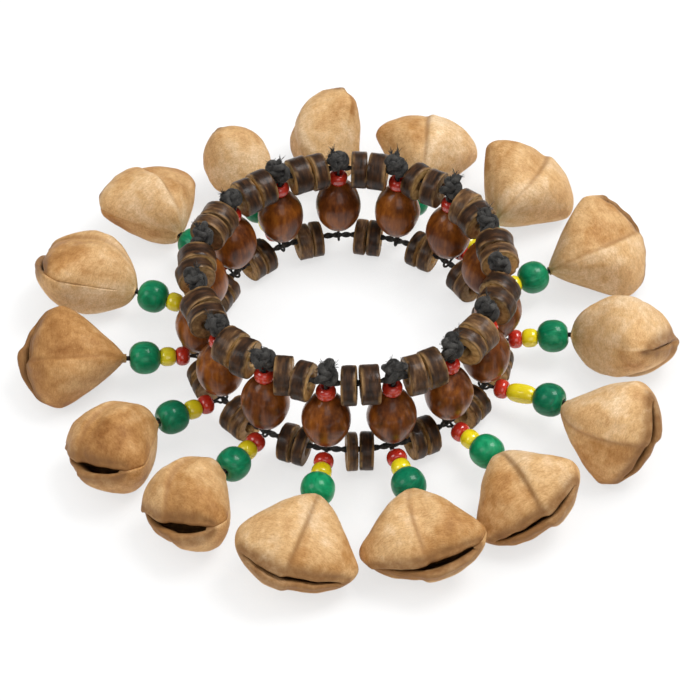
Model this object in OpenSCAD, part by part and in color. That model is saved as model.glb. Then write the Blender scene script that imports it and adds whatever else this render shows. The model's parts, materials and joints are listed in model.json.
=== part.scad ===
// Seed shaker bracelet lying on a table: fifteen beaded strands on two ring cords,
// each strand ending in a hollow nut shell that swings out over the table.
// Millimetres, +Z up, origin on the table under the middle of the ring.

/* [Strands] */
// Number of strands round the ring
strand_count = 15; // [12:1:16]
// Radius of one leg of the doubled strand thread
thread_r = 0.3; // [0.2:0.05:0.4]
// Radius of the upper and lower ring cords
cord_r = 0.8; // [0.6:0.1:1.0]
// Radius of the knot on top of each strand
knot_r = 2; // [1.6:0.1:2.4]
// Angle of the first strand, seen from above
first_strand_deg = 94; // [80:1:100]

/* [Disc beads] */
// Outer radius of the shell discs
disc_r = 4.6; // [4:0.1:5.5]
// Radius of the hole in the shell discs
disc_bore_r = 1.8; // [1.5:0.1:2.2]
// Thickness of the thickest discs on the upper cord
upper_disc_t = 4.6; // [3:0.1:6]
// Thickness of the thickest discs on the lower cord
lower_disc_t = 3.4; // [2.5:0.1:4.5]
// Chamfer on the rim of the discs
disc_chamfer = 0.5; // [0.2:0.1:0.8]
// Free length of the upper cord at each strand
strand_gap = 5.9; // [5.4:0.1:8]

/* [Oval beads] */
// Largest diameter of the oval beads
oval_d = 11.8; // [10:0.1:13]
// Length of the oval beads
oval_l = 15; // [14:0.1:18]

/* [Small beads] */
// Diameter of the red and yellow seed beads
seed_d = 4.7; // [4:0.1:5.2]
// Length of the red seed beads
red_l = 3.2; // [2.6:0.1:4]
// Length of the yellow seed beads
yellow_l = 3.8; // [3:0.1:5]
// Extra length of the one yellow bead that is a short tube
tube_extra_l = 3; // [0:0.1:4]
// Diameter of the green beads
green_d = 8; // [7:0.1:9]
// Length of the green beads
green_l = 7.2; // [6:0.1:8]
// Radius of the hole in every bead on a strand
bead_bore_r = 1; // [0.9:0.05:1.2]

/* [Nut shells] */
// Width of the widest nut shells, wing to wing
nut_w = 29.4; // [24:0.1:31]
// Length of the longest nut shells, from the hole to the mouth
nut_h = 25; // [20:0.1:27]
// Thickness of the thickest nut shells
nut_t = 19.5; // [15:0.1:21]
// Wall of the nut shells
nut_wall = 1.3; // [1:0.1:2]
// Half of the outer thickness of the lips at the mouth
lip_r = 1.9; // [1.7:0.1:3]
// Radius of the hole that the thread goes through
nut_bore_r = 1.1; // [1:0.05:1.4]

/* [Clearances] */
// Room left round the lower cord, so that a hanging end swings clear of the bead above it
swing_room = 1.6; // [1.2:0.1:2.2]
// Gap between pieces that are strung against each other
string_gap = 0.1; // [0.05:0.05:0.3]
// Least gap between two nut shells that lie side by side
nut_gap = 0.6; // [0.4:0.1:1.5]
// Gap between a green bead and its nut, which lies askew on its thread
hole_gap = 0.8; // [0.6:0.1:1.2]

/* [Hidden] */
$fn = 48;
eps = 0.01;

// The two legs of a thread pass either side of a cord, then close up to enter a bead
leg_offset = thread_r + string_gap;
eye_r = cord_r + thread_r + 1.5 * string_gap;
eye_h = cord_r + 2 * thread_r + string_gap;

// Heights of the ring, with the lower discs standing on the table
disc_drop = disc_bore_r - cord_r - 3 * string_gap;
lower_cord_z = disc_r + disc_drop;
oval_low_z = lower_cord_z + eye_h + swing_room;
oval_z = oval_low_z + oval_l / 2;
upper_red_z = oval_low_z + oval_l + string_gap + red_l / 2;
upper_cord_z = upper_red_z + red_l / 2 + eye_h;
knot_z = upper_cord_z + cord_r + string_gap + knot_r;

// Places along a hanging end, counted outwards from the lower cord;
// one strand's yellow bead is a short tube
tube_strand = 5;
hang_red_x = eye_h + swing_room + red_l / 2;
function yellow_len(i) = yellow_l + (i == tube_strand ? tube_extra_l : 0);
function hang_yellow_x(i) = hang_red_x + red_l / 2 + string_gap + yellow_len(i) / 2;
function hang_green_x(i) = hang_yellow_x(i) + yellow_len(i) / 2 + string_gap + green_l / 2;
function nut_x(i) = hang_green_x(i) + green_l / 2 + hole_gap;

// A bead's outline is a superellipse: 2 is an ellipse, more is squarer, less is more pointed
oval_power = 1.8;
seed_power = 3;
green_power = 2.3;
function bead_radius(d, l, power, z) = d / 2 * pow(1 - pow(abs(2 * z / l), power), 1 / power);

// Nearest that a lower disc can come to a strand before it meets the oval bead above it
disc_reach = 2 * disc_r - oval_low_z + string_gap;
lower_disc_start = bead_radius(oval_d, oval_l, oval_power, oval_l / 2 - disc_reach) + 2 * string_gap;

// The ring is as long as its discs need, and as wide as its nuts need side by side
disc_pitch = max(
    strand_gap + 2 * upper_disc_t,
    2 * lower_disc_start + 2 * lower_disc_t + string_gap
);
// share of a nut's length by which its wings stop short of the middle of its mouth
wing_rise = 0.27;
wing_x = nut_x(0) + nut_h * (1 - wing_rise);
strand_step = 360 / strand_count;
disc_ring_r = strand_count * disc_pitch / (2 * PI);
nut_ring_r = (nut_w + nut_gap) / 2 / tan(strand_step / 2) - wing_x;
ring_r = max(disc_ring_r, nut_ring_r);

// Each strand in turn, clockwise from the back: shares of the largest nut's width, length and thickness
nut_w_share = [0.94, 0.98, 1.00, 0.97, 1.00, 0.92, 0.96, 1.00, 1.00, 0.80, 0.84, 0.88, 1.00, 0.99, 0.80, 0.9];
nut_h_share = [1.00, 0.93, 0.96, 1.00, 0.98, 0.97, 0.88, 0.90, 1.00, 0.86, 0.90, 0.96, 1.00, 0.94, 0.80, 0.9];
nut_t_share = [0.90, 0.92, 0.95, 0.90, 1.00, 0.96, 0.92, 0.90, 0.94, 1.00, 1.00, 0.98, 0.94, 0.92, 0.86, 0.9];
// Turn of each nut about its own length from lying flat
nut_turn = [-60, 15, 30, 40, -35, 55, 25, 10, -15, 15, 20, -35, 30, 10, 60, 0];
// Turn of each nut to one side at its hole, from lying straight along its thread
nut_yaw = [5, 11, 8, 2, -10, -18, -18, -10, -5, 0, 12, -5, -8, -17, -12, 0];

// Shares of the full thickness, and turns about the upright, of the two discs after each strand
disc_share = [1, 0.84, 0.92, 0.76, 0.96, 0.9, 0.8, 1, 0.88, 0.94, 0.72];
disc_turn = [6, -4, 9, 3, -8, 5, -10, 2, 7];
// Turn of each strand's knot about the upright
knot_turn = [20, -35, 60, 10, -70, 40, -15];

function at(list, i) = list[i % len(list)];
function strand_deg(i) = first_strand_deg - strand_step * i;

// Shape of a nut shell: it widens from the hole at its apex to two wings at the ends of the mouth,
// with a ridge down each face, and its mouth bows past the wings
ridge_power = 1.75;
ring_sides = 16;
apex_hole_r = nut_bore_r / 2;
outer_steps = [0, 0.04, 0.11, 0.22, 0.36, 0.52, 0.68, 0.82, 0.93, 1];
inner_steps = [1, 0.9, 0.74, 0.54, 0.34, 0.17, 0.06, 0];
function wide(u) = sin(90 * pow(u, 0.85));
function deep(u) = pow(sin(180 * pow(u, 0.85)), 0.6);
function signed_power(x, p) = sign(x) * pow(abs(x), p);
function nut_point(w, t, h, u, a, wall) =
    let (half_w = max(apex_hole_r, w / 2 * wide(u) - wall),
         half_t = max(apex_hole_r, t / 2 * deep(u) + lip_r * pow(u, 3) - wall),
         x = half_w * signed_power(cos(a), 2 / ridge_power),
         y = half_t * signed_power(sin(a), 2 / ridge_power),
         wing = x / (w / 2))
    [x, y, h * u * (1 - wing_rise * u * wing * wing) + wall * (1 - u)];
function nut_ring(i, u, wall) =
    [for (k = [0:ring_sides - 1])
        nut_point(nut_w * at(nut_w_share, i), nut_t * at(nut_t_share, i),
                  nut_h * at(nut_h_share, i), u, 360 * k / ring_sides, wall)];
function nut_rings(i) = concat(
    [for (u = outer_steps) nut_ring(i, u, 0)],
    [for (u = inner_steps) nut_ring(i, u, nut_wall)]);

// Slope of a hanging end at which its nut just rests on the table, found by halving
rest_gap = 0.05;
function lowest(points, slope) = min([for (p = points) p[0] * sin(slope) + p[1] * cos(slope)]);
function rest_slope(points, low = -30, high = 40, n = 16) =
    let (mid = (low + high) / 2)
    n == 0 ? high :
    lower_cord_z + lowest(points, mid) < rest_gap
        ? rest_slope(points, mid, high, n - 1)
        : rest_slope(points, low, mid, n - 1);
// The nut's points seen from the side: distance out along the thread, and height above it
function side_points(i) =
    let (turn = at(nut_turn, i), yaw = at(nut_yaw, i))
    [for (u = outer_steps) for (p = nut_ring(i, u, 0))
        let (across = p[0] * cos(turn) - p[1] * sin(turn))
        [nut_x(i) + p[2] * cos(yaw) - across * sin(yaw), p[0] * sin(turn) + p[1] * cos(turn)]];
slopes = [for (i = [0:strand_count - 1]) rest_slope(side_points(i))];

function two_digits(n) = n < 10 ? str("0", n) : str(n);
function names(stem) = [for (i = [1:strand_count]) str(stem, two_digits(i))];

// Places a child that stands on the ring at one strand
module on_strand(i) {
    rotate([0, 0, strand_deg(i)]) translate([ring_r, 0, 0]) children();
}

// Places a child on one hanging end, with +X outwards along its thread
module on_hanging_end(i) {
    on_strand(i) translate([0, 0, lower_cord_z]) rotate([0, -slopes[i], 0]) children();
}

// Sets its children at a nut's hole, with X along the nut
module on_nut(i) {
    on_hanging_end(i) translate([nut_x(i), 0, 0]) rotate([0, 0, at(nut_yaw, i)]) children();
}

// A drilled bead round +Z: a superellipse outline with flat ends
module bead(d, l, bore, power, flat_r, steps = 12) {
    end_z = l / 2 * pow(1 - pow(2 * flat_r / d, power), 1 / power);
    stretch = l / 2 / end_z;
    outline = [for (k = [0:steps])
        let (z = end_z * sin(90 * (2 * k / steps - 1)))
        [bead_radius(d, l, power, z), z * stretch]];
    rotate_extrude() polygon(concat([[bore, -l / 2]], outline, [[bore, l / 2]]));
}

// A tube along points in the XZ plane, made as one closed skin
module planar_tube(path, r, sides = 6) {
    n = len(path);
    function direction(i) =
        let (d = path[min(i + 1, n - 1)] - path[max(i - 1, 0)])
        d / norm(d);
    skin = [for (i = [0:n - 1]) for (k = [0:sides - 1])
        let (d = direction(i), a = 360 * k / sides, s = r * cos(a))
        [path[i][0] - s * d[1], r * sin(a), path[i][1] + s * d[0]]];
    walls = [for (i = [0:n - 2]) for (k = [0:sides - 1])
        let (a = i * sides + k, b = i * sides + (k + 1) % sides)
        each [[a, b, b + sides], [a, b + sides, a + sides]]];
    first = [for (k = [sides - 1:-1:0]) k];
    last = [for (k = [0:sides - 1]) (n - 1) * sides + k];
    polyhedron(skin, concat([first, last], walls));
}

module ring_cord(z) {
    translate([0, 0, z]) rotate_extrude($fn = 96) translate([ring_r, 0]) circle(cord_r);
}

module upper_ring_cord() {
    color("#1b1a19") ring_cord(upper_cord_z);
}

module lower_ring_cord() {
    color("#1b1a19") ring_cord(lower_cord_z);
}

// One shell disc with its hole along the ring
module disc(t) {
    rotate([90, 0, 0]) rotate_extrude() polygon([
        [disc_bore_r, -t / 2],
        [disc_r - disc_chamfer, -t / 2],
        [disc_r, -t / 2 + disc_chamfer],
        [disc_r, t / 2 - disc_chamfer],
        [disc_r - disc_chamfer, t / 2],
        [disc_bore_r, t / 2]
    ]);
}

// Two discs between each strand and the next, a little apart on either side of the middle
module disc_pairs(cord_z, full_t, turns) {
    for (i = [0:strand_count - 1]) for (side = [0, 1]) {
        t = full_t * at(disc_share, 2 * i + side);
        along = (side - 0.5) * (full_t + string_gap);
        rotate([0, 0, strand_deg(i) - strand_step / 2])
            translate([ring_r, along, cord_z - disc_drop])
                rotate([0, 0, turns * at(disc_turn, i)]) disc(t);
    }
}

module upper_disc_beads() {
    color("#5a3d24") disc_pairs(upper_cord_z, upper_disc_t, 1);
}

module lower_disc_beads() {
    color("#4a3018") disc_pairs(lower_cord_z, lower_disc_t, 0);
}

module oval_beads() {
    color("#6b2f10")
        for (i = [0:strand_count - 1])
            on_strand(i) translate([0, 0, oval_z])
                bead(oval_d, oval_l, bead_bore_r, oval_power, 1.7 * bead_bore_r, 18);
}

module red_bead() {
    color("#c4211a") bead(seed_d, red_l, bead_bore_r, seed_power, 1.5 * bead_bore_r);
}

module upper_red_beads() {
    for (i = [0:strand_count - 1])
        on_strand(i) translate([0, 0, upper_red_z]) red_bead();
}

// One leg of a doubled thread, from its knot to the nut's hole: side 1 runs outside the cords
// and side -1 inside them
module thread_leg(i, side) {
    slope = slopes[i];
    along = [cos(slope), sin(slope)];
    across = [-sin(slope), cos(slope)];
    cord = [0, lower_cord_z];
    x = side * leg_offset;
    inner_turn = [for (a = [150:45:285]) cord + (eye_r + string_gap / 2) * [cos(a + slope), sin(a + slope)]];
    planar_tube(concat(
        [[side * eye_r, upper_cord_z + cord_r],
         [side * eye_r, upper_cord_z - thread_r],
         [x, upper_cord_z - eye_h],
         [x, lower_cord_z + eye_h]],
        side > 0 ? [] : inner_turn,
        [cord + along * eye_h + across * x,
         cord + along * (nut_x(i) + thread_r) + across * x]
    ), thread_r);
}

// The two legs run side by side through the nut's hole to a stop knot, too big for the hole
neck_r = leg_offset + thread_r;
neck_start = 2 * thread_r;
bore_depth = nut_wall + 2 * nut_bore_r;
stop_r = 1.5 * nut_bore_r;
stop_depth = bore_depth + stop_r;
module stop_knot(i) {
    on_nut(i) {
        translate([neck_start, 0, 0]) rotate([0, 90, 0]) cylinder(r = neck_r, h = stop_depth - neck_start);
        translate([stop_depth, 0, 0]) sphere(stop_r);
    }
}

module strand_threads() {
    color("#201f1e")
        for (i = [0:strand_count - 1]) {
            on_strand(i) {
                thread_leg(i, 1);
                thread_leg(i, -1);
            }
            stop_knot(i);
        }
}

// The same legs are tied above the upper cord, and one end is left as a short tail
tail_r = 0.7;
module top_knots() {
    color("#201f1e")
        for (i = [0:strand_count - 1])
            on_strand(i) translate([0, 0, knot_z]) rotate([0, 0, at(knot_turn, i)]) {
                sphere(knot_r);
                translate([knot_r / 2, 0, knot_r / 2]) sphere(0.8 * knot_r);
                translate([knot_r / 2, 0, knot_r]) rotate([0, 40, 0])
                    cylinder(r = tail_r, h = 1.2 * knot_r);
            }
}

// The red and the yellow seed bead next to the lower cord
module seed_beads(i) {
    on_hanging_end(i) {
        translate([hang_red_x, 0, 0]) rotate([0, 90, 0]) red_bead();
        color("#e5c414")
            translate([hang_yellow_x(i), 0, 0]) rotate([0, 90, 0])
                bead(seed_d, yellow_len(i), bead_bore_r, seed_power, 1.5 * bead_bore_r);
    }
}

module green_bead(i) {
    color("#0b6a45")
        on_hanging_end(i) translate([hang_green_x(i), 0, 0]) rotate([0, 90, 0])
            bead(green_d, green_l, bead_bore_r, green_power, 1.8 * bead_bore_r);
}

// A hollow shell with an open mouth: one skin runs out from the hole, round the lips and back inside
module nut_shell(i) {
    rings = nut_rings(i);
    n = len(rings);
    points = [for (ring = rings) each ring];
    faces = [for (j = [0:n - 1]) for (k = [0:ring_sides - 1])
        let (next = (j + 1) % n, k2 = (k + 1) % ring_sides,
             a = j * ring_sides + k, b = j * ring_sides + k2,
             c = next * ring_sides + k2, d = next * ring_sides + k)
        each [[a, b, c], [a, c, d]]];
    difference() {
        polyhedron(points, faces);
        translate([0, 0, -eps]) cylinder(r = nut_bore_r, h = bore_depth);
    }
}

module nut(i) {
    color("#c39a63")
        on_nut(i) rotate([0, 90, 0]) rotate([0, 0, 90 + at(nut_turn, i)]) nut_shell(i);
}

upper_ring_cord();
lower_ring_cord();
upper_disc_beads();
lower_disc_beads();
oval_beads();
upper_red_beads();
top_knots();
strand_threads();
for (i = [0:strand_count - 1]) {
    number = two_digits(i + 1);
    seed_beads(i);
    green_bead(i);
    nut(i);
}
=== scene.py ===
import json
import math
import random

import bmesh
import bpy
import numpy as np
from mathutils import Matrix, Vector, noise


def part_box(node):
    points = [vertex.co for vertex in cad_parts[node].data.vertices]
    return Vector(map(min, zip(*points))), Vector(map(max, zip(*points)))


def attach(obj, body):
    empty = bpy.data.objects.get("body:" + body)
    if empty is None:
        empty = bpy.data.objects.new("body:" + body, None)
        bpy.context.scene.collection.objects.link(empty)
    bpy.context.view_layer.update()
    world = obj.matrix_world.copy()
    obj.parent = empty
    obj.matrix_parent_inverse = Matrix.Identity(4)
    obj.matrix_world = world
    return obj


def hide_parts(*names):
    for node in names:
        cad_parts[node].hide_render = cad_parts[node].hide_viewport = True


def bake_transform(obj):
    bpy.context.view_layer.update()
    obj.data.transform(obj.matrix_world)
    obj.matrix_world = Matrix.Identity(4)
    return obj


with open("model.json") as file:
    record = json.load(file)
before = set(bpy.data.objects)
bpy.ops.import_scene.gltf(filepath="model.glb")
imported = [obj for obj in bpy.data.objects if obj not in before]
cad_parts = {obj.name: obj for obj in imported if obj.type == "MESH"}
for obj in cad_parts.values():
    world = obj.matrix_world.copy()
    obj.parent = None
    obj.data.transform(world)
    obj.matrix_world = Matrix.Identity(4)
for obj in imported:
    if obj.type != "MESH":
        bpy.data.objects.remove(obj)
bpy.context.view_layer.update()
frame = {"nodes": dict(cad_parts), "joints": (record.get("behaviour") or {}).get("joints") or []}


# The table: a plain pale sheet that the bracelet lies on, mostly clear over a white ground, so that ends
# which swing below it still show. A soft window behind on the right, two weaker ones and a bright room
# light it, and the camera looks down on the ring from the front.
def add_node(tree, kind, **values):
    node = tree.nodes.new(kind)
    for key, value in values.items():
        if key in node.inputs:
            node.inputs[key].default_value = value
        else:
            setattr(node, key, value)
    return node


def new_finish(name, **sockets):
    finish = bpy.data.materials.new(name)
    finish.use_nodes = True
    tree = finish.node_tree
    skin = tree.nodes["Principled BSDF"]
    for key, value in sockets.items():
        skin.inputs[key.replace("_", " ")].default_value = value
    return finish, tree, skin


def finish_mesh(name, bm, *finishes, sharp_deg=None):
    mesh = bpy.data.meshes.new(name)
    bm.to_mesh(mesh)
    bm.free()
    mesh.shade_smooth()
    if sharp_deg:
        mesh.set_sharp_from_angle(angle=math.radians(sharp_deg))
    piece = bpy.data.objects.new(name, mesh)
    bpy.context.scene.collection.objects.link(piece)
    for finish in finishes:
        mesh.materials.append(finish)
    return piece


table_white, tree, skin = new_finish("table_white", Roughness=0.85)
grain = add_node(tree, "ShaderNodeTexNoise", Scale=60.0, Detail=3.0)
place = add_node(tree, "ShaderNodeTexCoord")
tint = add_node(tree, "ShaderNodeMix", data_type="RGBA")
tint.inputs["A"].default_value = (0.93, 0.93, 0.925, 1)
tint.inputs["B"].default_value = (0.95, 0.95, 0.945, 1)
tree.links.new(place.outputs["Object"], grain.inputs["Vector"])
tree.links.new(grain.outputs["Fac"], tint.inputs["Factor"])
tree.links.new(tint.outputs["Result"], skin.inputs["Base Color"])
skin.inputs["Emission Color"].default_value = (1, 1, 1, 1)
ray = add_node(tree, "ShaderNodeLightPath")
seen = add_node(tree, "ShaderNodeMath", operation="MAXIMUM")
bright = add_node(tree, "ShaderNodeMath", operation="MULTIPLY")
away = add_node(tree, "ShaderNodeVectorMath", operation="LENGTH")
far = add_node(tree, "ShaderNodeMapRange")
for socket, number in (("From Min", 0.2), ("From Max", 0.8), ("To Min", 0.36), ("To Max", 0.8)):
    far.inputs[socket].default_value = number
tree.links.new(place.outputs["Object"], away.inputs[0])
tree.links.new(away.outputs["Value"], far.inputs["Value"])
tree.links.new(ray.outputs["Is Camera Ray"], seen.inputs[0])
tree.links.new(ray.outputs["Is Glossy Ray"], seen.inputs[1])
tree.links.new(seen.outputs[0], bright.inputs[0])
tree.links.new(far.outputs["Result"], bright.inputs[1])
tree.links.new(bright.outputs[0], skin.inputs["Emission Strength"])
clear_share, shadow_reach = 0.8, 0.022
# painted contact shadow: for camera rays the sheet is mostly see-through, tinted darker by ambient occlusion
# near the bracelet
painted_contact_shadow = add_node(tree, "ShaderNodeAmbientOcclusion", samples=16, Distance=shadow_reach)
shadow = add_node(tree, "ShaderNodeValToRGB")
shadow.color_ramp.elements[0].color = (0.70, 0.69, 0.68, 1)
clear = add_node(tree, "ShaderNodeBsdfTransparent")
looked_through = add_node(tree, "ShaderNodeMath", operation="MULTIPLY_ADD")
looked_through.inputs[1].default_value = clear_share
sheet = add_node(tree, "ShaderNodeMixShader")
tree.links.new(painted_contact_shadow.outputs["AO"], shadow.inputs["Fac"])
tree.links.new(shadow.outputs["Color"], clear.inputs["Color"])
tree.links.new(ray.outputs["Is Camera Ray"], looked_through.inputs[0])
tree.links.new(ray.outputs["Is Shadow Ray"], looked_through.inputs[2])
tree.links.new(looked_through.outputs[0], sheet.inputs["Fac"])
tree.links.new(skin.outputs["BSDF"], sheet.inputs[1])
tree.links.new(clear.outputs["BSDF"], sheet.inputs[2])
tree.links.new(sheet.outputs["Shader"], tree.nodes["Material Output"].inputs["Surface"])
sheet_half, table_z, ground_z = 30, -0.0002, -0.08
bm = bmesh.new()
bmesh.ops.create_grid(bm, x_segments=1, y_segments=1, size=sheet_half)
bmesh.ops.translate(bm, verts=bm.verts, vec=(0, 0, table_z))
table = finish_mesh("table", bm, table_white)

ground_white, tree, skin = new_finish("ground_white", Base_Color=(0, 0, 0, 1), Specular_IOR_Level=0.0)
skin.inputs["Emission Color"].default_value = (1, 1, 1, 1)
ray = add_node(tree, "ShaderNodeLightPath")
glow = add_node(tree, "ShaderNodeMapRange")
glow.inputs["To Min"].default_value = 0.2
tree.links.new(ray.outputs["Is Camera Ray"], glow.inputs["Value"])
tree.links.new(glow.outputs["Result"], skin.inputs["Emission Strength"])
bm = bmesh.new()
bmesh.ops.create_grid(bm, x_segments=1, y_segments=1, size=sheet_half)
bmesh.ops.translate(bm, verts=bm.verts, vec=(0, 0, ground_z))
ground = finish_mesh("ground", bm, ground_white)

room = bpy.data.worlds.new("room")
bpy.context.scene.world = room
room.use_nodes = True
room.node_tree.nodes["Background"].inputs["Color"].default_value = (1, 1, 1, 1)
room.node_tree.nodes["Background"].inputs["Strength"].default_value = 0.24
for name, spot, width, watts in (
    ("window_right", (0.36, 0.14, 0.76), 0.4, 6.4),
    ("window_left", (-0.55, -0.2, 0.6), 0.4, 2.1),
    ("window_front", (0.1, -0.7, 0.5), 0.5, 1.4),
):
    lamp = bpy.data.lights.new(name, "AREA")
    lamp.size = width
    lamp.energy = watts
    window = bpy.data.objects.new(name, lamp)
    window.location = spot
    window.rotation_mode = "QUATERNION"
    window.rotation_quaternion = (-Vector(spot)).to_track_quat("-Z", "Y")
    bpy.context.scene.collection.objects.link(window)

lens = bpy.data.cameras.new("camera")
lens.sensor_width = 36
lens.lens = 104.4
lens.shift_x, lens.shift_y = 0.0024, 0.0021
lens.clip_start = 0.01
camera = bpy.data.objects.new("camera", lens)
camera_away, camera_height = 0.5, math.radians(47)
camera.location = (0, -camera_away * math.cos(camera_height), camera_away * math.sin(camera_height))
camera.rotation_mode = "QUATERNION"
camera.rotation_quaternion = (-camera.location).to_track_quat("-Z", "Y")
bpy.context.scene.collection.objects.link(camera)
bpy.context.scene.camera = camera
bpy.context.scene.view_settings.view_transform = "Standard"


# The two ring cords: black waxed cotton, two plies twisted together, each closed into a loop
# that all the shell discs are strung on. The strands hang between the upper and the lower loop.
def wound_tube(name, lines, radius, closed=False, sides=6, smooth=False):
    route = bpy.data.curves.new(name, "CURVE")
    route.dimensions = "3D"
    route.bevel_depth = radius
    route.bevel_resolution = sides // 2 - 2
    route.use_fill_caps = not closed
    route.resolution_u = 4
    for line in lines:
        run = route.splines.new("BEZIER" if smooth else "POLY")
        points = run.bezier_points if smooth else run.points
        points.add(len(line) - 1)
        for point, (spot, share) in zip(points, line):
            point.co = spot if smooth else (*spot, 1)
            point.radius = share
            if smooth:
                point.handle_left_type = point.handle_right_type = "AUTO"
        run.use_cyclic_u = closed
    holder = bpy.data.objects.new(name, route)
    bpy.context.scene.collection.objects.link(holder)
    shape = bpy.data.meshes.new_from_object(
        holder.evaluated_get(bpy.context.evaluated_depsgraph_get())
    )
    bpy.data.objects.remove(holder)
    bpy.data.curves.remove(route)
    bm = bmesh.new()
    bm.from_mesh(shape)
    bpy.data.meshes.remove(shape)
    bmesh.ops.recalc_face_normals(bm, faces=bm.faces)
    return bm


black_cotton, tree, skin = new_finish(
    "black_cotton", Roughness=0.85, Sheen_Weight=0.08, Specular_IOR_Level=0.2
)
place = add_node(tree, "ShaderNodeTexCoord")
fibres = add_node(tree, "ShaderNodeTexNoise", Scale=5200.0, Detail=4.0, Roughness=0.7)
dust = add_node(tree, "ShaderNodeTexNoise", Scale=700.0, Detail=3.0)
shades = add_node(tree, "ShaderNodeValToRGB")
shades.color_ramp.elements[0].position = 0.35
shades.color_ramp.elements[0].color = (0.006, 0.0057, 0.0052, 1)
shades.color_ramp.elements[1].position = 0.75
shades.color_ramp.elements[1].color = (0.11, 0.104, 0.096, 1)
blend = add_node(tree, "ShaderNodeMath", operation="MULTIPLY_ADD")
blend.inputs[1].default_value = 0.6
raised = add_node(tree, "ShaderNodeBump", Strength=0.9, Distance=0.0002)
tree.links.new(place.outputs["Object"], fibres.inputs["Vector"])
tree.links.new(place.outputs["Object"], dust.inputs["Vector"])
tree.links.new(fibres.outputs["Fac"], blend.inputs[0])
tree.links.new(dust.outputs["Fac"], blend.inputs[2])
half = add_node(tree, "ShaderNodeMath", operation="MULTIPLY")
half.inputs[1].default_value = 0.62
tree.links.new(blend.outputs[0], half.inputs[0])
tree.links.new(half.outputs[0], shades.inputs["Fac"])
tree.links.new(shades.outputs["Color"], skin.inputs["Base Color"])
tree.links.new(fibres.outputs["Fac"], raised.inputs["Height"])
tree.links.new(raised.outputs["Normal"], skin.inputs["Normal"])

ply_r, ply_twist, lay_length = 0.00044, 0.00036, 0.0045
cord_z = {}
for node in ("lower_ring_cord", "upper_ring_cord"):
    low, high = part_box(node)
    cord_z[node] = (low.z + high.z) / 2
    ring_r = (high.x - low.x) / 2 - (high.z - low.z) / 2
    turns = round(2 * math.pi * ring_r / lay_length)
    plies = []
    for start in (0, math.pi):
        line = []
        for step in range(turns * 9):
            around = 2 * math.pi * step / (turns * 9)
            lay = turns * around + start
            out = ring_r + ply_twist * math.cos(lay)
            spot = (out * math.cos(around), out * math.sin(around), cord_z[node] + ply_twist * math.sin(lay))
            line.append((spot, 1))
        plies.append(line)
    cord = finish_mesh(node + "_plies", wound_tube(node, plies, ply_r, closed=True), black_cotton)
    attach(cord, "bracelet")
    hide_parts(node)


# The shell discs: thin slices of a hard brown shell, drilled and strung in pairs between the strands.
# The rim keeps its dark streaked bark, worn to tan on the edges, and some cut faces show pale wood.
def pieces_on(node):
    bm = bmesh.new()
    bm.from_mesh(frame["nodes"][node].data)
    bmesh.ops.remove_doubles(bm, verts=bm.verts, dist=1e-7)
    seen, groups = set(), []
    for first in bm.verts:
        if first in seen:
            continue
        seen.add(first)
        group = [first]
        for vert in group:
            for edge in vert.link_edges:
                other = edge.other_vert(vert)
                if other not in seen:
                    seen.add(other)
                    group.append(other)
        groups.append(np.array([vert.co[:] for vert in group], float))
    bm.free()
    return sorted(groups, key=lambda g: math.atan2(g[:, 1].mean(), g[:, 0].mean()))


def turn_on_lathe(bm, outline, steps):
    first_vert, first_face = len(bm.verts), len(bm.faces)
    ring = [bm.verts.new((r, 0, z)) for r, z in outline]
    edges = [bm.edges.new((a, b)) for a, b in zip(ring, ring[1:] + ring[:1])]
    bmesh.ops.spin(
        bm, geom=ring + edges, cent=(0, 0, 0), axis=(0, 0, 1), angle=2 * math.pi, steps=steps, use_merge=True
    )
    bm.verts.ensure_lookup_table()
    bmesh.ops.remove_doubles(bm, verts=bm.verts[first_vert:], dist=1e-4)
    bm.verts.ensure_lookup_table()
    bm.faces.ensure_lookup_table()
    bmesh.ops.recalc_face_normals(bm, faces=bm.faces[first_face:])
    return bm.verts[first_vert:], bm.faces[first_face:]


def turned_to(axis, centre, spin=0.0):
    lean = Vector(axis).to_track_quat("Z", "Y").to_matrix().to_4x4()
    return (
        Matrix.Translation(Vector(centre)) @ lean @ Matrix.Rotation(spin, 4, "Z") @ Matrix.Scale(0.001, 4)
    )


# streaked_grain is shared by every natural finish: long fine streaks, soft blotches and a height for bump
streaks = bpy.data.node_groups.new("streaked_grain", "ShaderNodeTree")
for name, kind, value in (
    ("Coordinates", "NodeSocketVector", None), ("Stretch", "NodeSocketVector", (1, 1, 0.15)),
    ("Fineness", "NodeSocketFloat", 1.0), ("Blotch Size", "NodeSocketFloat", 0.2),
):
    socket = streaks.interface.new_socket(name, in_out="INPUT", socket_type=kind)
    if value is not None:
        socket.default_value = value
for name in ("Streak", "Blotch", "Height"):
    streaks.interface.new_socket(name, in_out="OUTPUT", socket_type="NodeSocketFloat")
come, go = add_node(streaks, "NodeGroupInput"), add_node(streaks, "NodeGroupOutput")
drawn = add_node(streaks, "ShaderNodeVectorMath", operation="MULTIPLY")
long_noise = add_node(streaks, "ShaderNodeTexNoise", Detail=6.0, Roughness=0.62)
soft_noise = add_node(streaks, "ShaderNodeTexNoise", Detail=4.0, Roughness=0.55)
fine_scale = add_node(streaks, "ShaderNodeMath", operation="MULTIPLY")
fine_scale.inputs[1].default_value = 5.0
fine_noise = add_node(streaks, "ShaderNodeTexNoise", Detail=3.0, Roughness=0.6)
total = add_node(streaks, "ShaderNodeMath", operation="MULTIPLY_ADD")
total.inputs[1].default_value = 0.45
streaks.links.new(come.outputs["Coordinates"], drawn.inputs[0])
streaks.links.new(come.outputs["Stretch"], drawn.inputs[1])
streaks.links.new(drawn.outputs["Vector"], long_noise.inputs["Vector"])
streaks.links.new(come.outputs["Fineness"], long_noise.inputs["Scale"])
streaks.links.new(come.outputs["Coordinates"], soft_noise.inputs["Vector"])
streaks.links.new(come.outputs["Blotch Size"], soft_noise.inputs["Scale"])
streaks.links.new(come.outputs["Fineness"], fine_scale.inputs[0])
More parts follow.
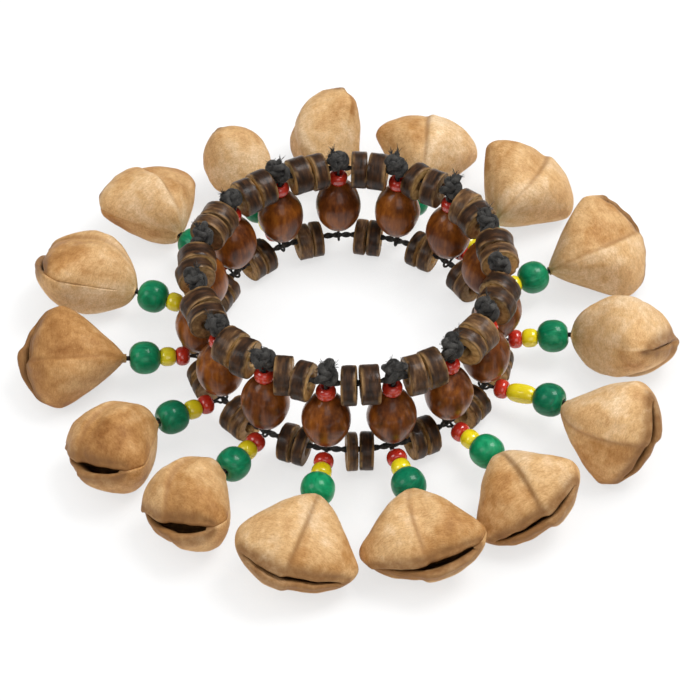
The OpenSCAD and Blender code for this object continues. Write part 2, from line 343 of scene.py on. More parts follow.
streaks.links.new(come.outputs["Coordinates"], fine_noise.inputs["Vector"])
streaks.links.new(fine_scale.outputs[0], fine_noise.inputs["Scale"])
streaks.links.new(fine_noise.outputs["Fac"], total.inputs[0])
streaks.links.new(long_noise.outputs["Fac"], total.inputs[2])
streaks.links.new(long_noise.outputs["Fac"], go.inputs["Streak"])
streaks.links.new(soft_noise.outputs["Fac"], go.inputs["Blotch"])
streaks.links.new(total.outputs[0], go.inputs["Height"])


def grained(tree, stretch, fineness, blotch_size):
    local = add_node(tree, "ShaderNodeAttribute", attribute_name="local_mm")
    group = add_node(tree, "ShaderNodeGroup")
    group.node_tree = streaks
    group.inputs["Stretch"].default_value = stretch
    group.inputs["Fineness"].default_value = fineness
    group.inputs["Blotch Size"].default_value = blotch_size
    tree.links.new(local.outputs["Vector"], group.inputs["Coordinates"])
    return group


def shade_steps(tree, value, *steps):
    ramp = add_node(tree, "ShaderNodeValToRGB")
    ends = ramp.color_ramp.elements
    while len(ends) < len(steps):
        ends.new(0.5)
    for end, (at, colour) in zip(ends, steps):
        end.position = at
        end.color = (*colour, 1)
    tree.links.new(value, ramp.inputs["Fac"])
    return ramp.outputs["Color"]


def mixed(tree, share, first, second, way="MIX"):
    mix = add_node(tree, "ShaderNodeMix", data_type="RGBA", blend_type=way)
    for socket, value in (("Factor", share), ("A", first), ("B", second)):
        if isinstance(value, bpy.types.NodeSocket):
            tree.links.new(value, mix.inputs[socket])
        elif socket == "Factor":
            mix.inputs[socket].default_value = value
        else:
            mix.inputs[socket].default_value = (*value, 1)
    return mix.outputs["Result"]


def reach(tree, value, low, high, to_low=0.0, to_high=1.0):
    span = add_node(tree, "ShaderNodeMapRange")
    for socket, number in (("From Min", low), ("From Max", high), ("To Min", to_low), ("To Max", to_high)):
        span.inputs[socket].default_value = number
    tree.links.new(value, span.inputs["Value"])
    return span.outputs["Result"]


def bumped(tree, skin, height, strength, depth):
    raised = add_node(tree, "ShaderNodeBump", Strength=strength, Distance=depth)
    tree.links.new(height, raised.inputs["Height"])
    tree.links.new(raised.outputs["Normal"], skin.inputs["Normal"])


bark, tree, skin = new_finish("bark_rim", Coat_Weight=0.1, Coat_Roughness=0.14, Specular_IOR_Level=0.2)
group = grained(tree, (0.5, 0.5, 1.9), 0.5, 0.26)
colour = shade_steps(
    tree, group.outputs["Streak"],
    (0.36, (0.010, 0.0042, 0.0016)), (0.52, (0.034, 0.0140, 0.0052)),
    (0.66, (0.075, 0.031, 0.011)), (0.80, (0.26, 0.14, 0.05)),
)
worn = add_node(tree, "ShaderNodeAttribute", attribute_name="edge")
wear_and_glow = add_node(tree, "ShaderNodeMath", operation="MULTIPLY")
tree.links.new(worn.outputs["Fac"], wear_and_glow.inputs[0])
tree.links.new(reach(tree, group.outputs["Blotch"], 0.42, 0.6), wear_and_glow.inputs[1])
brown = shade_steps(
    tree, group.outputs["Streak"],
    (0.34, (0.03, 0.014, 0.006)), (0.54, (0.12, 0.058, 0.023)), (0.76, (0.34, 0.19, 0.08)),
)
weathered = add_node(tree, "ShaderNodeAttribute", attribute_name="bark")
colour = mixed(tree, weathered.outputs["Fac"], colour, brown)
tree.links.new(mixed(tree, wear_and_glow.outputs[0], colour, (0.42, 0.24, 0.095)), skin.inputs["Base Color"])
tree.links.new(reach(tree, group.outputs["Blotch"], 0.3, 0.7, 0.3, 0.58), skin.inputs["Roughness"])
bumped(tree, skin, group.outputs["Height"], 0.5, 0.00025)

cut_wood, tree, skin = new_finish("cut_wood", Coat_Weight=0.1, Coat_Roughness=0.3, Specular_IOR_Level=0.25)
group = grained(tree, (1.0, 1.0, 1.0), 0.8, 0.3)
pale = shade_steps(
    tree, group.outputs["Streak"],
    (0.28, (0.22, 0.105, 0.028)), (0.5, (0.50, 0.29, 0.10)), (0.7, (0.68, 0.45, 0.19)),
)
dark = shade_steps(
    tree, group.outputs["Streak"],
    (0.3, (0.02, 0.010, 0.005)), (0.55, (0.075, 0.036, 0.016)), (0.75, (0.2, 0.11, 0.045)),
)
tone = add_node(tree, "ShaderNodeAttribute", attribute_name="tone")
ringed = add_node(tree, "ShaderNodeAttribute", attribute_name="edge")
face_colour = mixed(tree, tone.outputs["Fac"], dark, pale)
tree.links.new(
    mixed(tree, reach(tree, ringed.outputs["Fac"], 0.55, 0.95), face_colour, (0.04, 0.02, 0.009)),
    skin.inputs["Base Color"],
)
tree.links.new(reach(tree, group.outputs["Blotch"], 0.3, 0.7, 0.45, 0.7), skin.inputs["Roughness"])
bumped(tree, skin, group.outputs["Height"], 0.6, 0.0003)

chance = random.Random(15)


def pattern_shift():
    return Vector([chance.uniform(-50, 50) for axis in "xyz"])


disc_bore_r, disc_corner_r = 1.8, 0.34
tilts = {"lower_disc_beads": 0.07, "upper_disc_beads": 0.22}
for node in ("lower_disc_beads", "upper_disc_beads"):
    bm = bmesh.new()
    local = bm.verts.layers.float_vector.new("local_mm")
    edge = bm.verts.layers.float.new("edge")
    tone = bm.verts.layers.float.new("tone")
    bark_tone = bm.verts.layers.float.new("bark")
    for count, group in enumerate(pieces_on(node)):
        centre = (group.min(0) + group.max(0)) / 2
        axis = np.linalg.eigh(np.cov((group - centre).T))[1][:, 0]
        if axis[0] * -centre[1] + axis[1] * centre[0] < 0:
            axis = -axis
        along = (group - centre) @ axis
        thick = 1000 * (along.max() - along.min())
        centre = centre + axis * (along.max() + along.min()) / 2
        wide = 1000 * np.linalg.norm((group - centre) - np.outer((group - centre) @ axis, axis), axis=1).max()
        half, soft = thick / 2, disc_corner_r
        outline = [(disc_bore_r, -half + 0.3), (disc_bore_r + 0.3, -half)]
        outline += [(r, -half) for r in (2.7, 3.3, 3.8)]
        bend_r, bend_z = wide - soft, half - soft
        bend = [(bend_r + soft * math.sin(a), bend_z + soft * math.cos(a)) for a in (0.2, 0.8, 1.4)]
        outline += [(r, -z) for r, z in bend]
        outline += [(wide, -half + soft + (thick - 2 * soft) * k / 6) for k in range(1, 6)]
        outline += bend[::-1]
        outline += [(r, half) for r in (3.8, 3.3, 2.7)]
        outline += [(disc_bore_r + 0.3, half), (disc_bore_r, half - 0.3)]
        verts, faces = turn_on_lathe(bm, outline, 36)
        shift = pattern_shift()
        face_tone = chance.choice((0.25, 0.55, 0.8, 0.9, 1.0, 1.0))
        rim_tone = chance.choice((0.0, 0.0, 0.0, 0.15, 0.4, 0.9))
        for face in faces:
            middle = face.calc_center_median()
            flat = abs(face.normal.z) > 0.75 or math.hypot(middle.x, middle.y) < disc_bore_r + 0.4
            face.material_index = 1 if flat else 0
        for vert in verts:
            out = math.hypot(vert.co.x, vert.co.y)
            rim = max(0.0, (out - wide + 0.9) / 0.9)
            corner = max(0.0, 1 - abs(abs(vert.co.z) - half) / 0.7)
            vert[local] = vert.co + shift
            on_face = abs(abs(vert.co.z) - half) < 0.02
            vert[edge] = max(0.0, (out - 3.2) / (wide - 3.2)) if on_face else corner * rim
            vert[tone] = face_tone
            vert[bark_tone] = rim_tone
            rough = noise.fractal((vert.co + shift) * 0.5, 1.0, 2.0, 3)
            chip = max(0.0, noise.noise((vert.co + shift) * 0.9) - 0.28) * corner * rim
            vert.co.x *= 1 + 0.022 * rough * rim - 0.3 * chip
            vert.co.y *= 1 + 0.022 * rough * rim - 0.3 * chip
            vert.co.z *= 1 - 0.035 * abs(rough) - 0.25 * chip
        if count % 2 == 0:
            inwards = Vector((-centre[0], -centre[1], 0)).normalized()
            askew = inwards * chance.uniform(-1, 1) * tilts[node]
            askew += Vector((0, 0, chance.uniform(-1, 1) * 0.06))
        bmesh.ops.transform(
            bm, matrix=turned_to(Vector(axis) + askew, centre, chance.uniform(0, 6)), verts=verts
        )
    discs = finish_mesh(node + "_cut", bm, bark, cut_wood, sharp_deg=50)
    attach(discs, "bracelet")
    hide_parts(node)


# The oval beads: whole polished seeds, drilled from end to end and oiled, one upright on each strand.
# The skin is deep mahogany with fine streaks along it and amber in random patches, partly the seed's own
# colour and partly a painted glow of light shining through it.
def bead_outline(wide, long, bore, power, flat_r, steps):
    end = long / 2 * (1 - (2 * flat_r / wide) ** power) ** (1 / power)
    outline = []
    for step in range(steps + 1):
        z = end * math.sin(math.pi / 2 * (2 * step / steps - 1))
        outline.append((wide / 2 * (1 - abs(2 * z / long) ** power) ** (1 / power), z * long / 2 / end))
    lip, end = 0.12 * bore, long / 2
    return [(bore, lip - end), (bore + lip, -end), *outline, (bore + lip, end), (bore, end - lip)]


polished, tree, skin = new_finish(
    "polished_seed", Coat_Weight=0.3, Coat_Roughness=0.10, Specular_IOR_Level=0.15
)
group = grained(tree, (1.0, 1.0, 0.10), 0.9, 0.16)
streaky = shade_steps(
    tree, group.outputs["Streak"],
    (0.3, (0.048, 0.012, 0.0022)), (0.5, (0.118, 0.030, 0.005)), (0.7, (0.21, 0.060, 0.010)),
)
amber = shade_steps(
    tree, group.outputs["Streak"],
    (0.3, (0.14, 0.036, 0.0045)), (0.55, (0.275, 0.080, 0.010)), (0.75, (0.42, 0.150, 0.020)),
)
# painted glow: random amber patches stand in for light shining through the seed, mixed with its own amber
wear_and_glow = reach(tree, group.outputs["Blotch"], 0.42, 0.62)
tree.links.new(mixed(tree, wear_and_glow, streaky, amber), skin.inputs["Base Color"])
tree.links.new(reach(tree, group.outputs["Blotch"], 0.3, 0.7, 0.42, 0.3), skin.inputs["Roughness"])
bumped(tree, skin, group.outputs["Height"], 0.06, 0.0002)

bead_bore_r = 1.0
bm = bmesh.new()
local = bm.verts.layers.float_vector.new("local_mm")
for group in pieces_on("oval_beads"):
    centre = (group.min(0) + group.max(0)) / 2
    across, deep, long = 1000 * (group.max(0) - group.min(0))
    wide = 0.97 * min(across, deep)
    verts = turn_on_lathe(bm, bead_outline(wide, long, bead_bore_r, 1.85, 1.7, 26), 44)[0]
    shift = pattern_shift()
    for vert in verts:
        vert[local] = vert.co + shift
        lump = noise.noise((vert.co + shift) * 0.22)
        vert.co.x *= 1 + 0.045 * lump
        vert.co.y *= 1 + 0.045 * lump
    bmesh.ops.transform(bm, matrix=turned_to((0, 0, 1), centre), verts=verts)
ovals = finish_mesh("oval_seeds", bm, polished, sharp_deg=60)
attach(ovals, "bracelet")
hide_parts("oval_beads")


# The upper red beads: small opaque glass beads, pinched from a hot tube, so the hole has rounded lips.
# One sits between the oval seed and the upper cord of each strand.
def glass_finish(name, deep, clear):
    glass, tree, skin = new_finish(name, Coat_Weight=0.5, Coat_Roughness=0.03)
    group = grained(tree, (1.0, 1.0, 0.4), 0.7, 0.3)
    tree.links.new(
        shade_steps(tree, group.outputs["Blotch"], (0.3, deep), (0.7, clear)), skin.inputs["Base Color"]
    )
    tree.links.new(reach(tree, group.outputs["Streak"], 0.3, 0.7, 0.12, 0.26), skin.inputs["Roughness"])
    bumped(tree, skin, group.outputs["Blotch"], 0.12, 0.0003)
    return glass


red_glass = glass_finish("red_glass", (0.40, 0.014, 0.008), (0.60, 0.036, 0.016))


def string_glass_bead(bm, wide, long, place, shift):
    local = bm.verts.layers.float_vector["local_mm"]
    verts, faces = turn_on_lathe(bm, bead_outline(wide, long, bead_bore_r, 2.6, 1.5, 14), 32)
    for vert in verts:
        vert[local] = vert.co + shift
        vert.co *= 1 + 0.05 * noise.noise((vert.co + shift) * 0.25)
    bmesh.ops.transform(bm, matrix=place, verts=verts)
    return faces


seed_wide, red_long, yellow_long, tube_long, tube_strand = 4.7, 3.2, 3.8, 6.8, 5
bm = bmesh.new()
bm.verts.layers.float_vector.new("local_mm")
for group in pieces_on("upper_red_beads"):
    centre = (group.min(0) + group.max(0)) / 2
    shift = pattern_shift()
    lean = (chance.uniform(-0.08, 0.08), chance.uniform(-0.08, 0.08), 1)
    string_glass_bead(bm, seed_wide, red_long, turned_to(lean, centre), shift)
reds = finish_mesh("upper_red_glass", bm, red_glass, sharp_deg=60)
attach(reds, "bracelet")
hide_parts("upper_red_beads")


# The strand threads: one black cotton thread to a strand, doubled. Its two legs pass either side of the
# upper cord, run down through the beads, round the lower cord and out to a stop knot inside the nut.
def knot_line(centre, lean, size, turns=40):
    line = []
    for step in range(turns + 1):
        t = 2 * math.pi * step / turns
        across, along = math.sin(t) + 2 * math.sin(2 * t), math.cos(t) - 2 * math.cos(2 * t)
        curl = Vector((across, along, -1.5 * math.sin(3 * t)))
        line.append((centre + lean @ (curl * size), 1))
    return line


def join_tubes(bm, more):
    shape = bpy.data.meshes.new("tubes")
    more.to_mesh(shape)
    more.free()
    bm.from_mesh(shape)
    bpy.data.meshes.remove(shape)


joints = {joint["name"]: joint for joint in frame["joints"]}
strands = []
for number in range(1, 16):
    name = f"{number:02d}"
    swing, turn = joints["swing_" + name], joints["nut_turn_" + name]
    pivot, hole = Vector(swing["pos_m"]), Vector(turn["pos_m"])
    out = (hole - pivot).normalized()
    side = -Vector(swing["axis"]).normalized()
    strands.append({
        "name": name, "pivot": pivot, "hole": hole, "out": out, "side": side,
        "up": out.cross(side), "nut": Vector(turn["axis"]).normalized(),
    })

thread_r, leg_apart, eye_r, eye_h = 0.0003, 0.0004, 0.00125, 0.0015
loop_r, stop_depth, stop_size, stop_r = 0.0013, 0.0062, 0.00034, 0.0004
upper_z = cord_z["upper_ring_cord"]
for strand in strands:
    pivot, out, up = strand["pivot"], strand["out"], strand["up"]
    radial = Vector((pivot.x, pivot.y, 0)).normalized()
    top = Vector((pivot.x, pivot.y, upper_z))
    legs = []
    for side in (1, -1):
        spots = [
            top + radial * side * eye_r + Vector((0, 0, 0.0009)),
            top + radial * side * eye_r - Vector((0, 0, 0.0003)),
            top + radial * side * leg_apart - Vector((0, 0, eye_h)),
            pivot + radial * side * leg_apart + Vector((0, 0, 0.010)),
            pivot + radial * side * leg_apart + Vector((0, 0, eye_h)),
        ]
        if side < 0:
            for degrees in (150, 195, 240, 285):
                around = math.radians(degrees)
                spots.append(pivot + loop_r * (math.cos(around) * out + math.sin(around) * up))
        spots += [
            pivot + out * eye_h + up * side * leg_apart,
            pivot + out * 0.009 + up * side * leg_apart,
            strand["hole"] + out * 0.0003 + up * side * leg_apart,
            strand["hole"] + strand["nut"] * (stop_depth - 0.0011) + up * side * leg_apart,
        ]
        legs.append([(spot, 1) for spot in spots])
    stop = knot_line(strand["hole"] + strand["nut"] * stop_depth, Matrix.Identity(3), stop_size)
    bm = wound_tube("legs", legs, thread_r, sides=8, smooth=True)
    join_tubes(bm, wound_tube("stop", [stop], stop_r))
    thread = finish_mesh("strand_thread_" + strand["name"], bm, black_cotton)
    bend = (out - Vector((0, 0, 1))).normalized()
    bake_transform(thread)
    if strand["name"] == "01":
        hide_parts("strand_threads")


# The top knots: the two legs are tied together above the upper cord and cut short. Each is a tight
# black lump of crossed cotton, with one or two frayed tails that stand up and out.
knot_r, knot_size, second_size, hair_r, hair_root = 0.00082, 0.00072, 0.00064, 0.00011, 0.0020
knot_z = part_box("top_knots")[0].z + 0.0013
knot_lines, hair_lines = [], []
for strand in strands:
    centre = Vector((strand["pivot"].x, strand["pivot"].y, knot_z))
    spin = Matrix.Rotation(chance.uniform(0, 6.28), 3, "Z")
    knot_lines.append(knot_line(centre, spin, knot_size))
    lean = spin @ Matrix.Rotation(1.2 + chance.uniform(-0.3, 0.3), 3, "X")
    second = centre + spin @ Vector((0.0009, 0, 0.0011))
    knot_lines.append(knot_line(second, lean, second_size))
    for tail in range(2):
        away = chance.uniform(0, 6.28)
        grow = Vector((0.75 * math.cos(away), 0.75 * math.sin(away), 1)).normalized()
        foot = second + grow * 0.0006
        tip = foot + grow * chance.uniform(0.0014, 0.0022)
        middle = (foot + tip) / 2 + Vector((chance.uniform(-1, 1), chance.uniform(-1, 1), 0)) * 0.0003
        knot_lines.append([(foot, 1), (middle, 1), (tip, 0.75)])
        for hair in range(11):
            flare = Vector((chance.uniform(-1, 1), chance.uniform(-1, 1), chance.uniform(-0.6, 1)))
            root = foot.lerp(tip, chance.uniform(0.5, 1))
            bent = root + (grow + 0.8 * flare) * chance.uniform(0.0004, 0.0008)
            end = bent + (0.6 * grow + 1.1 * flare) * chance.uniform(0.0003, 0.0008)
            hair_lines.append([(root, 1), (bent, 0.8), (end, 0.35)])
    for hair in range(60):
        bearing = Vector((chance.gauss(0, 1), chance.gauss(0, 1), chance.gauss(0, 1))).normalized()
        root = centre.lerp(second, chance.random()) + bearing * hair_root
        bent = root + bearing * chance.uniform(0.0003, 0.0006)
        sway = Vector((chance.uniform(-1, 1), chance.uniform(-1, 1), chance.uniform(-1, 1)))
        hair_lines.append([(root, 1), (bent, 0.8), (bent + sway * 0.0005, 0.35)])
bm = wound_tube("knots", knot_lines, knot_r, sides=8)
join_tubes(bm, wound_tube("hairs", hair_lines, hair_r, sides=4))
knots = finish_mesh("top_knots_tied", bm, black_cotton)
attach(knots, "bracelet")
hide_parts("top_knots")


# The seed beads of the hanging ends: a red and a yellow glass bead next to the lower cord.
# The yellow bead of one strand is a short cut tube, as stringers use up what they have.
hole_gap, bead_gap, green_wide, green_long = 0.8, 0.1, 8.0, 7.2
yellow_glass = glass_finish("yellow_glass", (0.78, 0.60, 0.006), (0.92, 0.78, 0.02))
for count, strand in enumerate(strands):
    bm = bmesh.new()
    bm.verts.layers.float_vector.new("local_mm")
    long = tube_long if count == tube_strand else yellow_long
    strand["green_from"] = 1000 * (strand["hole"] - strand["pivot"]).length - hole_gap - green_long
    reach_out = strand["green_from"] - long - red_long - 2 * bead_gap
    for index, length in ((0, red_long), (1, long)):
        lean = strand["out"] + strand["side"] * chance.uniform(-0.05, 0.05)
        spot = strand["pivot"] + strand["out"] * 0.001 * (reach_out + length / 2)
        shift = pattern_shift()
        for face in string_glass_bead(bm, seed_wide, length, turned_to(lean, spot), shift):
            face.material_index = index
        reach_out += length + bead_gap
    seeds = finish_mesh("glass_pair_" + strand["name"], bm, red_glass, yellow_glass, sharp_deg=60)
    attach(seeds, "hanging_end_" + strand["name"])
    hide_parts("seed_beads_" + strand["name"])


# The green beads: turned wooden beads dipped in green lacquer. The grain shows through as faint rings,
# and the lacquer is thin and pale at the lips of the hole and in a few rubbed spots.
lacquer, tree, skin = new_finish(
    "green_lacquer", Coat_Weight=0.25, Coat_Roughness=0.12, Specular_IOR_Level=0.15
)
group = grained(tree, (0.5, 2.2, 0.5), 0.8, 0.25)
teal = shade_steps(
    tree, group.outputs["Streak"],
    (0.3, (0.0005, 0.085, 0.042)), (0.55, (0.001, 0.145, 0.070)), (0.75, (0.004, 0.20, 0.095)),
)
bright = shade_steps(
    tree, group.outputs["Streak"],
    (0.3, (0.001, 0.17, 0.064)), (0.55, (0.003, 0.28, 0.105)), (0.75, (0.02, 0.39, 0.17)),
)
tone = add_node(tree, "ShaderNodeAttribute", attribute_name="tone")
worn = add_node(tree, "ShaderNodeAttribute", attribute_name="edge")
wear_and_glow = add_node(tree, "ShaderNodeMath", operation="MULTIPLY")
tree.links.new(reach(tree, group.outputs["Blotch"], 0.56, 0.72), wear_and_glow.inputs[0])
wear_and_glow.inputs[1].default_value = 0.45
paint = mixed(tree, tone.outputs["Fac"], teal, bright)
paint = mixed(tree, wear_and_glow.outputs[0], paint, (0.05, 0.36, 0.17))
tree.links.new(mixed(tree, worn.outputs["Fac"], paint, (0.08, 0.30, 0.13)), skin.inputs["Base Color"])
tree.links.new(reach(tree, group.outputs["Streak"], 0.3, 0.7, 0.3, 0.48), skin.inputs["Roughness"])
bumped(tree, skin, group.outputs["Height"], 0.22, 0.0002)

green_tone = (0.6, 0.5, 0.4, 0.5, 0.45, 0.1, 0.85, 0.15, 0.95, 0.35, 0.2, 0.55, 0.6, 0.4, 0.5)
for count, strand in enumerate(strands):
    bm = bmesh.new()
    local = bm.verts.layers.float_vector.new("local_mm")
    tone = bm.verts.layers.float.new("tone")
    edge = bm.verts.layers.float.new("edge")
    verts = turn_on_lathe(bm, bead_outline(green_wide, green_long, bead_bore_r, 2.3, 1.8, 20), 48)[0]
    shift = pattern_shift()
    for vert in verts:
        out = math.hypot(vert.co.x, vert.co.y)
        vert[local] = vert.co + shift
        vert[tone] = green_tone[count]
        vert[edge] = max(0.0, min(1.0, (2.1 - out) / 0.6))
        vert.co *= 1 + 0.03 * noise.noise((vert.co + shift) * 0.2)
    spot = strand["pivot"] + strand["out"] * 0.001 * (strand["green_from"] + green_long / 2)
    bmesh.ops.transform(bm, matrix=turned_to(strand["out"], spot, chance.uniform(0, 6)), verts=verts)
    green = finish_mesh("green_wood_" + strand["name"], bm, lacquer, sharp_deg=60)
    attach(green, "hanging_end_" + strand["name"])
    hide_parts("green_bead_" + strand["name"])


# The nut shells: dry hollow nuts, drilled at the apex for the thread and cut open along the lower edge.
# Each swells into two lobes beside a crease on both faces, and its lips roll in round a mouth that gapes.
shell_skin, tree, skin = new_finish("nut_shell_skin", Specular_IOR_Level=0.22)
group = grained(tree, (0.3, 0.3, 1.7), 0.75, 0.10)
place = add_node(tree, "ShaderNodeTexCoord")
mottle = add_node(tree, "ShaderNodeTexNoise", Scale=420.0, Detail=5.0, Roughness=0.6)
speck = add_node(tree, "ShaderNodeTexNoise", Scale=2600.0, Detail=3.0, Roughness=0.6)
pores = add_node(tree, "ShaderNodeTexVoronoi", Scale=1500.0)
for texture in (mottle, speck, pores):
    tree.links.new(place.outputs["Object"], texture.inputs["Vector"])
tone = add_node(tree, "ShaderNodeAttribute", attribute_name="tone")
mouth = add_node(tree, "ShaderNodeAttribute", attribute_name="mouth")
crease_shade = add_node(tree, "ShaderNodeAttribute", attribute_name="crease_shade")
hollow = add_node(tree, "ShaderNodeAttribute", attribute_name="hollow")
patch = add_node(tree, "ShaderNodeMath", operation="MULTIPLY_ADD")
patch.inputs[1].default_value = 0.3
tree.links.new(mottle.outputs["Fac"], patch.inputs[0])
lifted = add_node(tree, "ShaderNodeMath", operation="MULTIPLY_ADD")
lifted.inputs[1].default_value = 0.4
tree.links.new(group.outputs["Blotch"], lifted.inputs[0])
tree.links.new(reach(tree, tone.outputs["Fac"], 0.0, 1.0, 0.02, 0.27), lifted.inputs[2])
tree.links.new(lifted.outputs[0], patch.inputs[2])
colour = shade_steps(
    tree, patch.outputs[0],
    (0.28, (0.32, 0.135, 0.034)), (0.42, (0.54, 0.285, 0.100)),
    (0.56, (0.75, 0.485, 0.235)), (0.70, (0.90, 0.69, 0.45)),
)
fibre = shade_steps(tree, group.outputs["Streak"], (0.36, (0.78, 0.70, 0.60)), (0.6, (1.0, 1.0, 1.0)))
colour = mixed(tree, 0.55, colour, fibre, "MULTIPLY")
hairs = grained(tree, (0.45, 0.45, 2.4), 2.0, 0.5)
fuzz = shade_steps(tree, hairs.outputs["Streak"], (0.38, (0.74, 0.66, 0.56)), (0.56, (1.0, 1.0, 1.0)))
colour = mixed(tree, 0.6, colour, fuzz, "MULTIPLY")
grainy = shade_steps(tree, speck.outputs["Fac"], (0.34, (0.76, 0.68, 0.58)), (0.58, (1.0, 1.0, 1.0)))
colour = mixed(tree, 0.45, colour, grainy, "MULTIPLY")
pitted = shade_steps(tree, pores.outputs["Distance"], (0.08, (0.6, 0.48, 0.36)), (0.22, (1.0, 1.0, 1.0)))
colour = mixed(tree, 0.35, colour, pitted, "MULTIPLY")
wear_and_glow = add_node(tree, "ShaderNodeMath", operation="MULTIPLY")
tree.links.new(mouth.outputs["Fac"], wear_and_glow.inputs[0])
tree.links.new(reach(tree, mottle.outputs["Fac"], 0.3, 0.65, 1.0, 0.65), wear_and_glow.inputs[1])
colour = mixed(tree, wear_and_glow.outputs[0], colour, (0.23, 0.105, 0.034))
# painted shade: a darker brown band along each crease
colour = mixed(tree, reach(tree, crease_shade.outputs["Fac"], 0.0, 1.0, 0.0, 0.6), colour, (0.24, 0.105, 0.032))
inner = shade_steps(tree, mottle.outputs["Fac"], (0.35, (0.15, 0.070, 0.024)), (0.65, (0.30, 0.15, 0.055)))
colour = mixed(tree, hollow.outputs["Fac"], colour, inner)
tree.links.new(colour, skin.inputs["Base Color"])
tree.links.new(reach(tree, mottle.outputs["Fac"], 0.3, 0.7, 0.52, 0.74), skin.inputs["Roughness"])
relief = add_node(tree, "ShaderNodeMath", operation="MULTIPLY_ADD")
relief.inputs[1].default_value = 0.5
tree.links.new(hairs.outputs["Streak"], relief.inputs[0])
tree.links.new(group.outputs["Height"], relief.inputs[2])
sunk = add_node(tree, "ShaderNodeMath", operation="MULTIPLY_ADD")
sunk.inputs[1].default_value = 0.6
tree.links.new(reach(tree, pores.outputs["Distance"], 0.05, 0.3), sunk.inputs[0])
tree.links.new(relief.outputs[0], sunk.inputs[2])
bumped(tree, skin, sunk.outputs[0], 0.32, 0.00028)

nut_w, nut_h, nut_t = 29.4, 25.0, 19.5
nut_w_share = (0.94, 0.98, 1.00, 0.97, 1.00, 0.92, 0.96, 1.00, 1.00, 0.80, 0.84, 0.88, 1.00, 0.99, 0.80)
nut_h_share = (1.00, 0.93, 0.96, 1.00, 0.98, 0.97, 0.88, 0.90, 1.00, 0.86, 0.90, 0.96, 1.00, 0.94, 0.80)
nut_t_share = (0.90, 0.92, 0.95, 0.90, 1.00, 0.96, 0.92, 0.90, 0.94, 1.00, 1.00, 0.98, 0.94, 0.92, 0.86)
nut_turn = (-60, 15, 30, 40, -35, 55, 25, 10, -15, 15, 20, -35, 30, 10, 60)
# each nut's tone: partly its own colour and partly painted shade, with the 11th and 12th set darkest
nut_tone = (0.8, 0.85, 0.9, 0.8, 0.95, 0.75, 0.8, 0.7, 0.85, 0.7, 0.4, 0.1, 0.75, 0.75, 0.7)
nut_ajar = (0.25, 0.15, 0.15, 0.15, 0.2, 0.25, 0.2, 0.3, 0.2, 0.4, 0.35, 0.35, 0.2, 0.15, 0.2)
nut_overhang = (0.4, 0.3, 0.3, 0.3, 0.5, 0.6, 0.7, 0.9, 0.6, 1.2, 0.8, 0.8, 0.4, 0.3, 0.4)
lip_flat, lip_notch = 0.24, 0.6
lobe_puff, lobe_step, crease_deep, crease_wide = 0.09, 0.10, 0.4, 0.55
painted_shade_from, painted_shade_span, painted_shade_deep = 0.42, 0.3, 0.48
around_steps, out_steps, lip_steps, in_steps = 144, 60, 4, 18
wing_rise, shell_wall, lip_r, hole_r = 0.27, 2.5, 1.9, 0.95
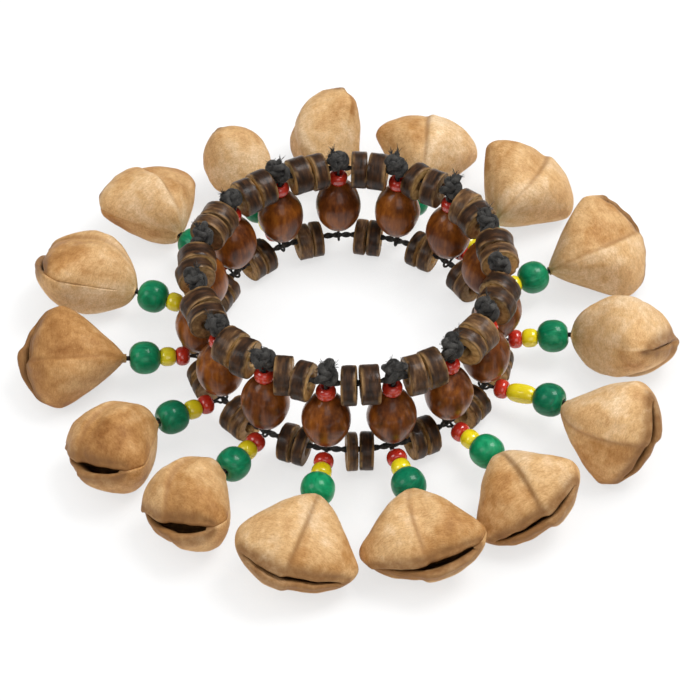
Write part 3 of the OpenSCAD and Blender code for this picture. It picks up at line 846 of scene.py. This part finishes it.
for count, strand in enumerate(strands):
    w, h, t = nut_w * nut_w_share[count], nut_h * nut_h_share[count], nut_t * nut_t_share[count]
    shift = pattern_shift()
    lip_wall = lip_r - nut_ajar[count]
    lean = chance.uniform(-1, 1)
    creases = [
        (chance.choice((-1, 1)), chance.uniform(-1.8, 1.8), chance.uniform(-2, 2)) for face in range(2)
    ]
    bm = bmesh.new()
    local = bm.verts.layers.float_vector.new("local_mm")
    layers = {key: bm.verts.layers.float.new(key) for key in ("tone", "mouth", "crease_shade", "hollow")}
    rows = out_steps + lip_steps + in_steps
    bmesh.ops.create_grid(bm, x_segments=around_steps, y_segments=rows, size=0.5)
    # the skin runs from the apex out to the lips, rolls over them and comes back along the inside
    for vert in bm.verts:
        row = round((vert.co.y + 0.5) * rows)
        phase = 2 * math.pi * (vert.co.x + 0.5)
        angle = phase + 0.2 * math.sin(2 * phase)
        outside = row <= out_steps
        if outside:
            share = row / out_steps
            u, wall, swell, hollow = share - 0.12 * math.sin(2 * math.pi * share), 0.0, 0.0, 0.0
        elif row <= out_steps + lip_steps:
            share = (row - out_steps) / lip_steps
            u, wall, swell, hollow = 1.0, lip_wall * share, 0.4 * math.sin(math.pi * share), 0.0
        else:
            u = 1 - (row - out_steps - lip_steps) / in_steps
            wall, swell, hollow = shell_wall + (lip_wall - shell_wall) * u ** 6, 0.0, min(1, 5 - 5 * u)
        tip = 1 - 0.13 * max(0, (u - 0.74) / 0.26) ** 2
        least = hole_r * (1 - u) + 0.1
        half_w = max(least, w / 2 * math.sin(math.pi / 2 * u ** 0.85) * tip - wall)
        swollen = max(0, math.sin(math.pi * u ** 0.85)) ** 0.6
        half_t = max(least, t / 2 * swollen + lip_r * u ** 3 - wall)
        if row > out_steps + lip_steps:
            k = min(1, (1 - u) / lip_flat)
            half_t = nut_ajar[count] + (half_t - nut_ajar[count]) * k * k * (3 - 2 * k)
        power = 2 / (1.9 + 0.7 * u ** 6)
        c, s = math.cos(angle), math.sin(angle)
        x = half_w * math.copysign(abs(c) ** power, c)
        y = half_t * math.copysign(abs(s) ** power, s)
        z = h * u * (1 - wing_rise * u * (2 * x / w) ** 2) + wall * (1 - u) + swell
        spot = Vector((x, y, z)) + shift
        way, offset, sway = creases[0 if s >= 0 else 1]
        gap = x - offset * u - sway * math.sin(3 * u)
        step = way * math.tanh(1.4 * gap)
        near = math.exp(-(gap / crease_wide) ** 2) * min(1, half_w / 3) * abs(s) * min(1, 0.3 + u)
        if outside:
            body = max(0, math.sin(math.pi * u)) ** 0.5
            lobe = math.sin(math.pi * min(1, abs(gap) / half_w)) ** 2
            uneven = lobe_puff * lobe * body + lobe_step * step * (1 - 0.7 * u ** 8)
            y *= 1 + min(1, 1.5 * u) * uneven
            y -= math.copysign(crease_deep * near * (0.4 + 0.6 * body), s)
            ripple = 0.8 * noise.fractal(spot * 0.11, 1, 2, 2) + 0.14 * noise.fractal(spot * 0.45, 1, 2, 2)
            y += math.tanh(5 * s) * body * ripple
            x += c * body * 0.6 * noise.noise(spot * 0.13 + Vector((9, 9, 9)))
        drawn_back = lip_notch * step - nut_overhang[count] * s * abs(s)
        z += u ** 6 * (0.35 * noise.noise(spot * 0.35) + drawn_back) + 0.05 * lean * x * u * u
        vert.co = (x, y, z)
        vert[local] = Vector((18 * math.cos(angle), 18 * math.sin(angle), z)) + shift
        # Painted shade: the tone darkens from partway out towards the lips, with a ragged edge. The lobe that
        # stands proud is also lighter than the one tucked under.
        painted_shade = max(0, min(1, (u - painted_shade_from + 0.5 * noise.noise(spot * 0.10)) / painted_shade_span))
        vert[layers["tone"]] = nut_tone[count] + 0.2 * step * min(1, 2 * u) + 0.16 - painted_shade_deep * painted_shade
        vert[layers["mouth"]] = max(0, (u - 0.93) / 0.07) ** 2 if outside else 1
        # painted shade along the crease, strongest at its middle line
        vert[layers["crease_shade"]] = near if outside else 0
        vert[layers["hollow"]] = hollow
    bmesh.ops.remove_doubles(bm, verts=bm.verts, dist=1e-5)
    rims = [edge for edge in bm.edges if edge.is_boundary]
    bmesh.ops.bridge_loops(bm, edges=rims)
    bmesh.ops.recalc_face_normals(bm, faces=bm.faces)
    lie = Matrix((strand["nut"], strand["up"].cross(strand["nut"]), strand["up"])).transposed().to_4x4()
    turned = Matrix.Rotation(math.radians(90 + nut_turn[count]), 4, "Z")
    lie = Matrix.Translation(strand["hole"]) @ lie @ Matrix.Rotation(math.pi / 2, 4, "Y") @ turned
    bmesh.ops.transform(bm, matrix=lie @ Matrix.Scale(0.001, 4), verts=bm.verts)
    for vert in bm.verts:
        vert.co.z = max(vert.co.z, 0.00003)
    shell = finish_mesh("nut_shell_" + strand["name"], bm, shell_skin)
    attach(shell, "shell_" + strand["name"])
    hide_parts("nut_" + strand["name"])
